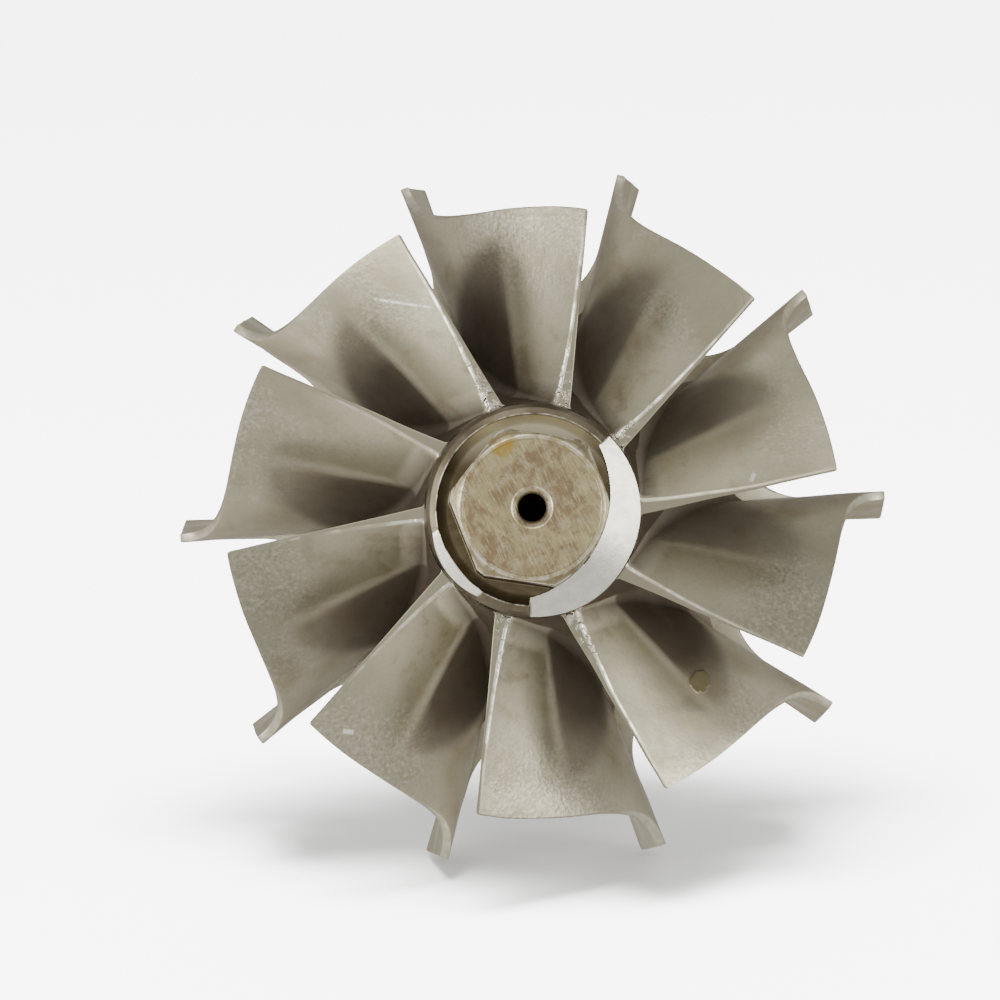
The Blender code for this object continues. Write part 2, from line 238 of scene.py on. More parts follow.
# Room: where it is brightest, its levels from the far side to there, and its strength
ROOM_BRIGHT_SIDE = (-0.72, -0.3, -0.6)
ROOM_LEVELS = ((0.0, 0.5), (0.5, 0.58), (0.75, 0.68), (1.0, 1.0))
ROOM_STRENGTH = 2.2

# Camera: where it looks in millimetres, its bearing and its lens
CAMERA_TARGET = (-3.37, -59.6, 43.65)
CAMERA_AZIMUTH = math.radians(0.394)
CAMERA_ELEVATION = math.radians(14.2)
CAMERA_ROLL = math.radians(-1.695)
CAMERA_DISTANCE = 663.2
CAMERA_LENS = 227.2


def rotor_matrix():
    place = Matrix.Translation((0.0, REST_Y * MM, REST_Z * MM))
    return place @ Matrix.Rotation(0.5 * math.pi - REST_TILT, 4, "X")


def smooth_step(low, high, value):
    share = np.clip((value - low) / (high - low), 0.0, 1.0)
    return share * share * (3.0 - 2.0 * share)


# Meshes from grids of points


def polar_points(radius, angle, height):
    height = np.broadcast_to(height, np.broadcast(radius, angle).shape)
    return np.stack([radius * np.cos(angle), radius * np.sin(angle), height], axis=-1)


def grid_faces(rows, columns, closed):
    first = np.arange(rows - 1)[:, None] * columns
    steps = np.arange(columns if closed else columns - 1)[None, :]
    after = (steps + 1) % columns
    corners = (first + steps, first + after, first + columns + after, first + columns + steps)
    return np.stack(corners, axis=-1).reshape(-1, 4).tolist()


def add_piece(name, points, faces, material, attributes=None, flip=False):
    """A mesh object from points in the rotor's own frame, in millimetres."""
    mesh = bpy.data.meshes.new(name)
    faces = [face[::-1] if flip else face for face in faces]
    pose = np.array(rotor_matrix())
    placed = np.asarray(points) * MM @ pose[:3, :3].T + pose[:3, 3]
    mesh.from_pydata(placed.tolist(), [], faces)
    for key, values in (attributes or {}).items():
        layer = mesh.attributes.new(key, "FLOAT", "POINT")
        layer.data.foreach_set("value", np.asarray(values, dtype=np.float32).ravel())
    mesh.validate()
    mesh.shade_smooth()
    mesh.set_sharp_from_angle(angle=math.radians(38.0))
    mesh.materials.append(material)
    piece = bpy.data.objects.new(name, mesh)
    bpy.context.scene.collection.objects.link(piece)
    return piece


# The wheel's own curves


def lean(w, most):
    short = np.clip((TIP_W - w) / TIP_W, 0.0, 1.0)
    return most * (1.0 - short**2)


def face_angle(w):
    share = np.clip((w - TIP_W) / (EXDUCER_W - TIP_W), 0.0, 1.2)
    return FACE_ANGLE + lean(w, FACE_LEAN) - BLADE_WRAP * share**WRAP_POWER


def hub_contour(w):
    share = np.clip((HUB_END_W - w) / (HUB_END_W - DISC_RIM), 0.0, 1.0)
    return HUB_R + (TIP_R - HUB_R) * (1.0 - np.sqrt(1.0 - share * share))


def hub_slope(w):
    return (hub_contour(w + 0.01) - hub_contour(w - 0.01)) / 0.02


def shroud_contour(w):
    share = np.clip((w - TIP_W) / (EXDUCER_W - TIP_W), 0.0, 1.0)
    fall = 1.0 - (1.0 - share) ** 3.4
    return TIP_R - (TIP_R - EXDUCER_R) * fall**0.62


def blade_thickness(w, radius):
    arm = np.clip(1.0 - w / TIP_W, 0.0, 1.0) * (ARM_THICKNESS - TIP_THICKNESS)
    rise = np.clip((w - 2.0) / 5.0, 0.0, 1.0)
    inducer = TIP_THICKNESS + arm + rise * INDUCER_TAPER * (TIP_R - radius)
    exducer = EXDUCER_THICKNESS + EXDUCER_TAPER * (EXDUCER_R - radius)
    share = np.clip((w - 6.0) / (EXDUCER_W - 6.0), 0.0, 1.0)
    return inducer + (exducer - inducer) * share**0.8


def edge_trim(w, radius):
    """How far the hollow face draws back where the trailing edge thins out."""
    inward = np.clip((EXDUCER_R - radius) / 20.8, 0.0, 1.1)
    wanted = TRAILING_TIP_THICKNESS + TRAILING_ROOT_EXTRA * inward**2.6
    spare = np.clip(blade_thickness(w, radius) - wanted, 0.0, 0.7)
    return spare * smooth_step(EXDUCER_W - 6.0, EXDUCER_W, w)


def lattice_noise(points, scale, seed):
    """Smooth noise in -1 to 1 from a few turned waves, the same on every run."""
    source = np.random.default_rng(seed)
    total = np.zeros(points.shape[:-1])
    for _ in range(9):
        direction = source.normal(size=3)
        direction *= source.uniform(0.6, 1.6) / (np.linalg.norm(direction) * scale)
        total += np.sin(points @ direction * math.tau + source.uniform(0.0, math.tau))
    return total / 3.6


# Blades


def blade_stations():
    """Heights along the blade, close together at the tip's corner and the trailing edge."""
    back = np.linspace(1.0, TIP_W - 0.25, 14)
    corner = TIP_W + np.array([-0.12, -0.04, 0.0])
    share = np.linspace(0.0, 1.0, 54)[1:] ** 1.6
    front = TIP_W + (EXDUCER_W - TIP_W) * share
    front = front[front < EXDUCER_W - 1.0]
    edge = EXDUCER_W - np.array([0.8, 0.5, 0.3, 0.18, 0.14, 0.1, 0.065, 0.035, 0.012, 0.0])
    return np.concatenate([back, corner, front, edge])


def edge_rounding(stations, length, radius):
    """How much a face draws in over the last length before the trailing edge."""
    left = np.clip((EXDUCER_W - stations) / length, 0.0, 1.0)
    return radius * (1.0 - np.sqrt(1.0 - (1.0 - left) ** 2))


def blade_profile(stations, place, base, outer):
    """Radii from the fillet out to the rounded tip, and how much each one widens a face."""
    slope = np.where(hub_contour(place) < SCALLOP_BOTTOM, hub_slope(place), 0.0)
    steep = np.sqrt(1.0 + slope**2)
    fillet = 0.15 + 1.25 * smooth_step(5.5, 9.5, place) - 1.05 * smooth_step(14.0, 28.5, place)
    turns = np.radians(np.array([104.0, 90.0, 76.0, 62.0, 48.0, 34.0, 20.0, 8.0]))
    lift = 1.0 - np.sin(turns)
    flare = 1.0 - np.cos(turns)
    lift[0] = -0.35
    drawn = edge_rounding(stations, 0.2, 0.2)
    radii = [base + value * fillet * steep for value in lift]
    flares = [value * fillet for value in flare]
    start = base + fillet * steep
    top = outer - 0.16 - drawn
    for share in np.linspace(0.0, 1.0, 17):
        radii.append(start + (top - start) * share)
        flares.append(np.zeros_like(base))
    for back, narrow in ((0.09, 0.02), (0.03, 0.07), (0.0, 0.13)):
        radii.append(outer - back - drawn)
        flares.append(np.full_like(base, -narrow))
    return np.stack(radii, axis=1), np.stack(flares, axis=1)


def blade_points(index):
    """Rows of points up one face and down the other, and a face's radii and heights."""
    stations = blade_stations()
    stretch = (TRAILING_ROOT_W - EXDUCER_W) / (EXDUCER_W - TIP_W)
    beyond = np.clip(stations - TIP_W, 0.0, None) * stretch
    base = np.minimum(hub_contour(stations + beyond), SCALLOP_BOTTOM)
    outer = shroud_contour(stations)
    radii, flares = blade_profile(stations, stations + beyond, base, outer)
    drawn = edge_rounding(stations, 0.2, 0.2)
    soft = edge_rounding(stations, 0.15, 1.0)
    share = (radii - base[:, None]) / (outer - base)[:, None]
    height = stations[:, None] + beyond[:, None] * (1.0 - np.clip(share, 0.0, 1.0))
    thick = blade_thickness(stations[:, None], radii)
    limit = np.minimum(flares, 0.0) * np.clip(thick / 1.2, 0.25, 1.0)
    flares = np.where(flares < 0.0, limit, flares)
    face = face_angle(stations)[:, None]
    trim = edge_trim(stations[:, None], radii)
    ahead = face + (flares - trim - 0.15 * thick * soft[:, None]) / radii
    drawn_back = np.minimum(drawn[:, None], 0.25 * thick)
    behind = face - 2.0 * np.arcsin(0.5 * thick / radii) - (flares - drawn_back) / radii
    turn = index * math.tau / BLADES
    hollow = polar_points(radii, ahead + turn, height)
    back = polar_points(radii, behind + turn, height)
    return np.concatenate([hollow, back[:, ::-1]], axis=1), radii, height


def valley_shade(radius, height):
    """The depth of a hollow face darkened by soot and painted shade: a tongue that narrows toward the tip.
    """
    top = 23.4 - 0.09 * (radius - 12.5)
    low = top - 2.1 * np.clip(30.4 - radius, 0.0, 20.0) ** 0.8
    upper = smooth_step(0.7, -0.9, height - top)
    lower = smooth_step(-2.0, 3.2, height - low)
    return upper * lower * smooth_step(31.0, 27.6, radius)


def blade_marks(index, radii, height):
    """Edge wear, painted glints, chips, soot with painted shade, painted light, the bare end face and the
    rough cast skin, point by point.
    """
    stations = blade_stations()[:, None]
    half = radii.shape[1]
    over = np.concatenate([radii, radii[:, ::-1]], axis=1)
    high = np.concatenate([height, height[:, ::-1]], axis=1)
    front = np.concatenate([np.ones(half), np.zeros(half)])[None, :] * np.ones_like(over)
    outer = shroud_contour(stations)
    base = np.minimum(hub_contour(high), SCALLOP_BOTTOM)
    above = (over - base) / (outer - base)
    last = np.clip((stations - EXDUCER_W + 0.9) / 0.9, 0.0, 1.0)
    corner = np.clip(1.0 - (EXDUCER_W - stations) / 0.2, 0.0, 1.0)
    rim = np.clip((over - outer + 0.35) / 0.35, 0.0, 1.0)
    root = 1.0 - np.clip(above / 0.45, 0.0, 1.0)
    inner = smooth_step(0.95, 0.5, above)
    valley = valley_shade(over, high) * FACE_SOOT_AND_SHADE[index] * (1.0 - 0.3 * smooth_step(20.0, 30.0, over))
    fillet = smooth_step(0.13, 0.05, above) * smooth_step(29.3, 28.6, high)
    inlet = smooth_step(17.5, 12.0, high)
    shade = 0.15 * smooth_step(EXDUCER_W, 18.0, high) * smooth_step(33.0, 26.0, over)
    wear_and_glint = EDGE_WEAR_AND_GLINT[index]
    return {
        "edge": np.maximum(0.55 * rim**2, 0.4 * (1.0 - front) * corner),
        # Painted glint along the trailing edge's hollow side, scaled by wear
        "glint": front * corner * (0.25 + 0.75 * inner) * wear_and_glint,
        "chips": last**2 * front * (0.25 + 0.75 * root) * wear_and_glint,
        # Soot with painted shade: the valley tongue, the inlet and the root fillet on the hollow face, and
        # the backs
        "soot_and_shade": np.where(front > 0.5, np.maximum(np.maximum(valley, 0.5 * inlet), 0.85 * fillet), shade),
        "end": corner * (1.0 - 0.6 * front),
        # Painted light on the hollow face near the hub, toward the trailing edge
        "painted_root_light": front * smooth_step(27.0, 15.0, over) * smooth_step(20.0, 23.5, high),
        "skin": front * smooth_step(21.0, 29.0, over) * smooth_step(15.0, 22.0, high),
        # Painted light: each blade's hollow face made lighter or darker
        "painted_light_scale": 1.0 + (FACE_PAINTED_LIGHT[index] - 1.0) * front,
    }


def add_end_face(flat, marks, near, far):
    """Rings of points across the trailing edge's end face, added to the blade's own."""
    thick = np.linalg.norm(flat[far] - flat[near], axis=1)
    inset = np.minimum(0.1 / thick, 0.3)
    rings = [near]
    for share in (inset, 1.0 - inset):
        rings.append(np.arange(len(near)) + len(flat))
        flat = np.concatenate([flat, flat[near] + (flat[far] - flat[near]) * share[:, None]])
        for key, values in marks.items():
            added = np.full(len(near), END_MARKS.get(key, 0.0))
            if key == "chips":
                added = END_CHIPS * values[near]
            marks[key] = np.concatenate([values, added])
    order = np.concatenate([*rings, far])
    return flat, order[grid_faces(len(rings) + 1, len(near), False)].tolist()


def add_blade(index, material):
    points, radii, height = blade_points(index)
    rows, columns = points.shape[:2]
    points[..., :2] += lattice_noise(points, 9.0, 40 + index)[..., None] * CAST_UNEVEN
    faces = grid_faces(rows, columns, False)
    half = columns // 2
    for k in range(half - 1):
        faces.append((columns - 1 - k, columns - 2 - k, k + 1, k))
    flat = points.reshape(-1, 3)
    marks = blade_marks(index, radii, height)
    marks = {key: np.broadcast_to(values, (rows, columns)).ravel() for key, values in marks.items()}
    start = (rows - 1) * columns
    near = np.arange(half) + start
    far = start + columns - 1 - np.arange(half)
    flat, end_faces = add_end_face(flat, marks, near, far)
    return add_piece(f"blade_{index + 1:02d}", flat, faces + end_faces, material, marks)


# Hub, disc and scallops


def sector_outline():
    """The star outline over one pitch, as angles and radii from one arm to the next."""
    half_pitch = math.pi / BLADES
    sine = math.sin(half_pitch)
    centre = (SCALLOP_BOTTOM - ARM_HALF_WIDTH) / (1.0 - sine)
    radius = centre * sine - ARM_HALF_WIDTH
    tip = math.asin(ARM_HALF_WIDTH / TIP_R)
    points = [(-half_pitch, TIP_R), (-half_pitch + 0.55 * tip, TIP_R)]
    points.append((-half_pitch + 0.93 * tip, TIP_R - 0.03))
    reach = centre * math.cos(half_pitch)
    for along in np.linspace(TIP_R - 0.12, reach, 9)[:-1]:
        points.append((-half_pitch + math.atan2(ARM_HALF_WIDTH, along), along))
    for turn in np.linspace(-1.0, 1.0, 37) * (0.5 * math.pi - half_pitch):
        x = centre - radius * math.cos(turn)
        y = radius * math.sin(turn)
        points.append((math.atan2(y, x), math.hypot(x, y)))
    mirror = [(-angle, far) for angle, far in points[:11]]
    points += mirror[:0:-1]
    return points


def add_front_rows(add_row, reach):
    """The hub from the nose down to the disc, and the disc's rim."""
    widening = TIP_R - HUB_R
    depth = HUB_END_W - DISC_RIM
    swell = np.clip((reach - 0.45 - HUB_R) / widening, 0.0, 1.0)
    last = np.arccos(1.0 - swell)
    first = 0.7 / depth
    for share in np.linspace(0.0, 1.0, 64):
        turn = first + (last - first) * share
        add_row(HUB_R + widening * (1.0 - np.cos(turn)), HUB_END_W - depth * np.sin(turn))
    edge = HUB_END_W - depth * np.sin(last)
    for back, below in ((0.28, 0.16), (0.12, 0.36), (0.03, 0.62), (0.0, 0.95)):
        add_row(reach - back, edge - below)
    for share in np.linspace(0.0, 1.0, 8)[1:]:
        add_row(reach, (edge - 0.95) * (1.0 - share) + 0.22 * share)


def add_back_rows(add_row, reach):
    """The back of the disc, with its turned step and the boss."""
    add_row(reach - 0.06, 0.08)
    add_row(reach - 0.2, 0.0)
    for share in np.linspace(0.0, 1.0, 12)[1:]:
        add_row((reach - 0.2) * (1.0 - share) + (STEP_R + 0.1) * share, 0.0)
    for radius, height in ((STEP_R, -0.02), (STEP_R - 0.1, -0.1), (STEP_R - 0.3, -STEP_HEIGHT)):
        add_row(radius, height)
    add_row(DISC_BACK_R, -STEP_HEIGHT)
    for turn in np.radians(np.linspace(10.0, 85.0, 7)):
        add_row(DISC_BACK_R - 3.6 * math.sin(turn), -STEP_HEIGHT - 1.9 * (1.0 - math.cos(turn)))
    for radius, height in ((BOSS_R + 0.15, -2.4), (BOSS_R, -2.7), (BOSS_R, -2.9)):
        add_row(radius, height)
    add_row(BOSS_R - 0.1, BOSS_END_W)
    add_row(6.0, BOSS_END_W)


def hub_points():
    turns, reach = np.array(sector_outline()).T
    middles = ARM_ANGLE + (np.arange(BLADES) + 0.5) * math.tau / BLADES
    angles = (middles[:, None] + turns).ravel()
    reach = np.tile(reach, BLADES)
    rows = []

    def add_row(radius, height):
        turn = lean(height, ARM_LEAN) * smooth_step(16.0, 24.0, radius)
        rows.append(polar_points(radius, angles + turn, height))

    add_front_rows(add_row, reach)
    add_back_rows(add_row, reach)
    return np.array(rows)


def add_hub(material):
    points = hub_points()
    rows, columns = points.shape[:2]
    faces = grid_faces(rows, columns, True)
    radius = np.hypot(points[..., 0], points[..., 1])
    # Soot with painted shade on the hub between the blades
    depth = smooth_step(-1.0, 3.0, points[..., 2]) * smooth_step(22.5, 18.0, radius)
    attributes = {"soot_and_shade": 0.25 + 0.75 * depth, "painted_light_scale": np.ones_like(depth)}
    fade = smooth_step(0.3, 2.0, points[..., 2]) * smooth_step(37.5, 34.0, radius)
    points[..., :2] += (lattice_noise(points, 7.0, 11) * CAST_UNEVEN * fade)[..., None]
    return add_piece("wheel_hub", points.reshape(-1, 3), faces, material, attributes, flip=True)


# Nose with its hexagon, centre drill hole and balance crescents


def stone_radius(radius, angle, cut):
    """Radius of a point about the centre of the stone that ground the cut."""
    direction, offset = cut[:2]
    x = radius * np.cos(angle) + offset * math.cos(direction)
    y = radius * np.sin(angle) + offset * math.sin(direction)
    return np.hypot(x, y)


def hexagon_radius(angle):
    """The hexagon's radius at each angle, turned down at its corners and ground on one side."""
    third = math.pi / 3.0
    local = (angle - HEX_ANGLE) % third - 0.5 * third
    radius = np.minimum(0.5 * HEX_FLATS / np.cos(local), HEX_CORNER_R)
    direction, offset, _, start, _ = BALANCE_CUTS[0]
    wall = start + offset
    turn = angle - direction
    limit = -offset * np.cos(turn) + np.sqrt(wall**2 - (offset * np.sin(turn)) ** 2)
    return np.minimum(radius, limit)


def within_span(angle, span):
    """1 between the start and the end of a cut, 0 beyond them."""
    start, end = span
    turn = (angle - start) % math.tau
    soft = math.radians(1.5)
    return smooth_step(0.0, soft, turn) * smooth_step(end - start, end - start - soft, turn)


def add_drill_rows(add_row):
    """The centre drill hole with its countersunk mouth."""
    drill_end = HEX_TOP_W - HOLE_DEPTH
    add_row(0.02, drill_end - 0.8)
    add_row(HOLE_R, drill_end)
    cone_foot = HEX_TOP_W - (CONE_R - HOLE_R)
    for share in (0.4, 0.8, 1.0):
        add_row(HOLE_R, drill_end + (cone_foot - drill_end) * share)
    add_row(CONE_R - 0.08, HEX_TOP_W - 0.1, 0.4)
    add_row(CONE_R + 0.03, HEX_TOP_W - 0.015, 0.8)


def add_hexagon_rows(add_row, hexagon):
    """The hexagon's end face with its fine turned line, its chamfer and its flats."""
    for radius in np.linspace(CONE_R + 0.15, FACE_LINE_R - 0.12, 12):
        add_row(radius, HEX_TOP_W)
    add_row(FACE_LINE_R - 0.06, HEX_TOP_W - 0.05)
    add_row(FACE_LINE_R, HEX_TOP_W - 0.05)
    add_row(FACE_LINE_R + 0.06, HEX_TOP_W, 0.5)
    add_row(HEX_FACE_R - 0.12, HEX_TOP_W, 0.2)
    chamfer = 0.75 / (HEX_CORNER_R - HEX_FACE_R)
    for share, edge in ((0.0, 1.0), (0.12, 0.5), (0.5, 0.0), (0.85, 0.2), (0.95, 1.0)):
        radius = HEX_FACE_R - 0.05 + (hexagon - HEX_FACE_R - 0.02) * share
        add_row(radius, HEX_TOP_W - 0.02 - np.clip(radius - HEX_FACE_R, 0.0, None) * chamfer, edge)
    top = HEX_TOP_W - 0.1 - (hexagon - HEX_FACE_R) * chamfer
    foot = NOSE_FACE_W - NOSE_DISH_DEPTH + 0.35
    add_row(hexagon - 0.01, top, 0.8)
    for share in np.linspace(0.04, 1.0, 10):
        add_row(hexagon, top + (foot - top) * share)


def add_shoulder_rows(add_row, hexagon):
    """The dish around the hexagon, the rim and the shoulder outside it."""
    floor = NOSE_FACE_W - NOSE_DISH_DEPTH
    add_row(hexagon + 0.04, floor + 0.15)
    add_row(hexagon + 0.12, floor + 0.04)
    for share in np.linspace(0.0, 1.0, 30):
        radius = hexagon + 0.2 + (NOSE_RIM_R - 0.12 - hexagon - 0.2) * share
        rise = np.clip((radius - NOSE_DISH_R) / (NOSE_RIM_R - NOSE_DISH_R), 0.0, 1.0)
        add_row(radius, floor + (NOSE_DISH_DEPTH - 0.12) * rise**1.5)
    add_row(*SHOULDER[0], 0.6)
    for (r0, w0), (r1, w1) in zip(SHOULDER, SHOULDER[1:]):
        steps = 2 if math.hypot(r1 - r0, w1 - w0) < 0.2 else 10
        for share in np.linspace(0.0, 1.0, steps)[1:]:
            add_row(r0 + (r1 - r0) * share, w0 + (w1 - w0) * share, 1.0 if r1 < 10.1 else 0.0)


def nose_rows(angle):
    """Rows of radius, height and edge wear with painted highlight from the drill hole out to the shoulder.
    """
    hexagon = hexagon_radius(angle)
    rows = []

    def add_row(radius, height, edge=0.0):
        rows.append([np.broadcast_to(value, angle.shape).astype(float) for value in (radius, height, edge)])

    add_drill_rows(add_row)
    add_hexagon_rows(add_row, hexagon)
    add_shoulder_rows(add_row, hexagon)
    return rows


def add_nose(material):
    angle = np.linspace(0.0, math.tau, 720, endpoint=False)
    points = []
    wear_and_glint = []
    spans = [within_span(angle, span) for span in CUT_SPANS]
    for radius, height, edge in nose_rows(angle):
        for cut, span in zip(BALANCE_CUTS, spans):
            _, offset, slope, start, top = cut
            around = stone_radius(radius, angle, cut)
            level = top - slope * (around - start - offset)
            inside = (around > start + offset - 0.02) & (height < NOSE_FACE_W + 0.1) & (span > 0.0)
            raised = inside & (radius < NOSE_RIM_R) & (offset < 10.0)
            cutting = inside & (height > level) | raised
            height = np.where(cutting, height + (level - height) * span, height)
            edge = np.where(inside & (np.abs(height - level) < 0.01), 0.0, edge)
        points.append(polar_points(radius, angle, height))
        wear_and_glint.append(edge)
    points = np.array(points)
    faces = grid_faces(len(wear_and_glint), len(angle), True)
    stone = np.maximum(spans[0], spans[1])[None, :] * np.ones((len(wear_and_glint), 1))
    attributes = {"edge": np.array(wear_and_glint), "stone": stone}
    return add_piece("wheel_nose", points.reshape(-1, 3), faces, material, attributes, flip=True)


# Shaft, weld and seal ring


def turned_points(profile, segments):
    angle = np.linspace(0.0, math.tau, segments, endpoint=False)
    radius, height = np.array(profile).T[..., None]
    return polar_points(radius, angle, height), angle


def shaft_end():
    corner = TIP_R * math.sin(ARM_ANGLE + math.asin(ARM_HALF_WIDTH / TIP_R))
    return -(corner - THREAD_R) / math.tan(REST_TILT)


def softened(profile, cut=0.12):
    """The turned profile with its corners broken by small chamfers."""
    result = [profile[0]]
    for before, here, after in zip(profile, profile[1:], profile[2:]):
        here = np.array(here)
        for other in (before, after):
            step = np.array(other) - here
            length = np.linalg.norm(step)
            result.append(tuple(here + step * min(cut / length, 0.4)))
    result.append(profile[-1])
    return result


def shaft_profile():
    start = BOSS_END_W - WELD_WIDTH
    collar_end = start - COLLAR_WIDTH
    end = shaft_end()
    groove_top = start - 0.5 * (COLLAR_WIDTH - GROOVE_WIDTH)
    journal_end = collar_end - JOURNALS_SPAN
    stub_end = end + THREAD_LENGTH
    profile = [
        (0.5, start - FIT),
        (COLLAR_R, start - FIT),
        (COLLAR_R, groove_top),
        (GROOVE_R, groove_top),
        (GROOVE_R, groove_top - GROOVE_WIDTH),
        (COLLAR_R, groove_top - GROOVE_WIDTH),
        (COLLAR_R, collar_end + 0.5),
        (COLLAR_R - 0.5, collar_end),
        (JOURNAL_R + 1.2, collar_end),
        (JOURNAL_R + 0.3, collar_end - 0.4),
        (JOURNAL_R, collar_end - 1.4),
        (JOURNAL_R, collar_end - JOURNAL_LENGTH),
        (RELIEF_R, collar_end - JOURNAL_LENGTH - 1.0),
        (RELIEF_R, journal_end + JOURNAL_LENGTH),
        (JOURNAL_R, journal_end + JOURNAL_LENGTH - 1.0),
        (JOURNAL_R, journal_end + 0.6),
        (JOURNAL_R - 0.6, journal_end),
        (STUB_R, journal_end),
        (STUB_R, stub_end + 0.2),
        (THREAD_R - 0.4, stub_end - 0.4),
        (THREAD_R - 0.4, stub_end - 1.2),
        (THREAD_R - 0.35, stub_end - 1.3),
    ]
    return profile, stub_end - 1.3, end


def add_shaft(material):
    profile, thread_top, end = shaft_profile()
    points, angle = turned_points(softened(profile), 128)
    rows = list(points)
    for height in np.arange(thread_top - 0.05, end + 0.02, -THREAD_PITCH / 9.0):
        phase = (height / THREAD_PITCH - angle / math.tau) % 1.0
        crest = np.clip(2.4 * np.abs(phase - 0.5) * 2.0 - 0.9, 0.0, 1.0)
        fade = min((thread_top - height) / 0.9, (height - end) / 0.7, 1.0)
        radius = THREAD_R - 0.03 - 0.55 * (1.0 - crest * max(fade, 0.0))
        if height - end < 0.7:
            radius = np.minimum(radius, THREAD_R - 0.6 + (height - end) * 0.8)
        rows.append(polar_points(radius, angle, height))
    for radius, depth in SHAFT_HOLE:
        rows.append(polar_points(radius, angle, end + depth))
    points = np.array(rows)
    faces = grid_faces(len(points), len(angle), True)
    return add_piece("shaft_steel", points.reshape(-1, 3), faces, material, flip=True)


def add_weld(material):
    top = BOSS_END_W - 0.02
    bottom = BOSS_END_W - WELD_WIDTH - FIT + 0.02
    swell = 0.55
    profile = [(9.5, top), (BOSS_R - 0.4, top)]
    for turn in np.linspace(0.0, math.pi, 15):
        radius = WELD_R - swell + swell * math.sin(turn)
        profile.append((radius, top + (bottom - top) * 0.5 * (1.0 - math.cos(turn))))
    profile += [(BOSS_R - 0.9, bottom), (9.0, bottom)]
    points, angle = turned_points(profile, 240)
    ripple = 0.045 * np.sin(angle * 74.0 + 1.3 * np.sin(points[..., 2] * 3.0))
    ripple = ripple + 0.03 * lattice_noise(points, 3.0, 5)
    scale = 1.0 + (ripple - 0.04) / WELD_R
    points = points * np.stack([scale, scale, np.ones_like(scale)], axis=-1)
    faces = grid_faces(len(points), len(angle), True)
    return add_piece("weld_bead", points.reshape(-1, 3), faces, material, flip=True)


def add_seal_ring(material):
    middle = BOSS_END_W - WELD_WIDTH - 0.5 * COLLAR_WIDTH
    inner = GROOVE_R + FIT
    half = 0.5 * RING_WIDTH
    corner = 0.1
    section = [
        (inner, middle + half), (RING_R - corner, middle + half), (RING_R, middle + half - corner),
        (RING_R, middle - half + corner), (RING_R - corner, middle - half), (inner, middle - half),
    ]
    angle = np.linspace(0.0, math.tau - RING_GAP, 160)
    radius, height = np.array(section).T
    points = polar_points(radius, angle[:, None], height)
    count = len(section)
    faces = grid_faces(len(angle), count, True)
    faces.append(tuple(range(count)))
    faces.append(tuple(range(len(angle) * count - 1, (len(angle) - 1) * count - 1, -1)))
    return add_piece("seal_ring_iron", points.reshape(-1, 3), faces, material)


# Materials


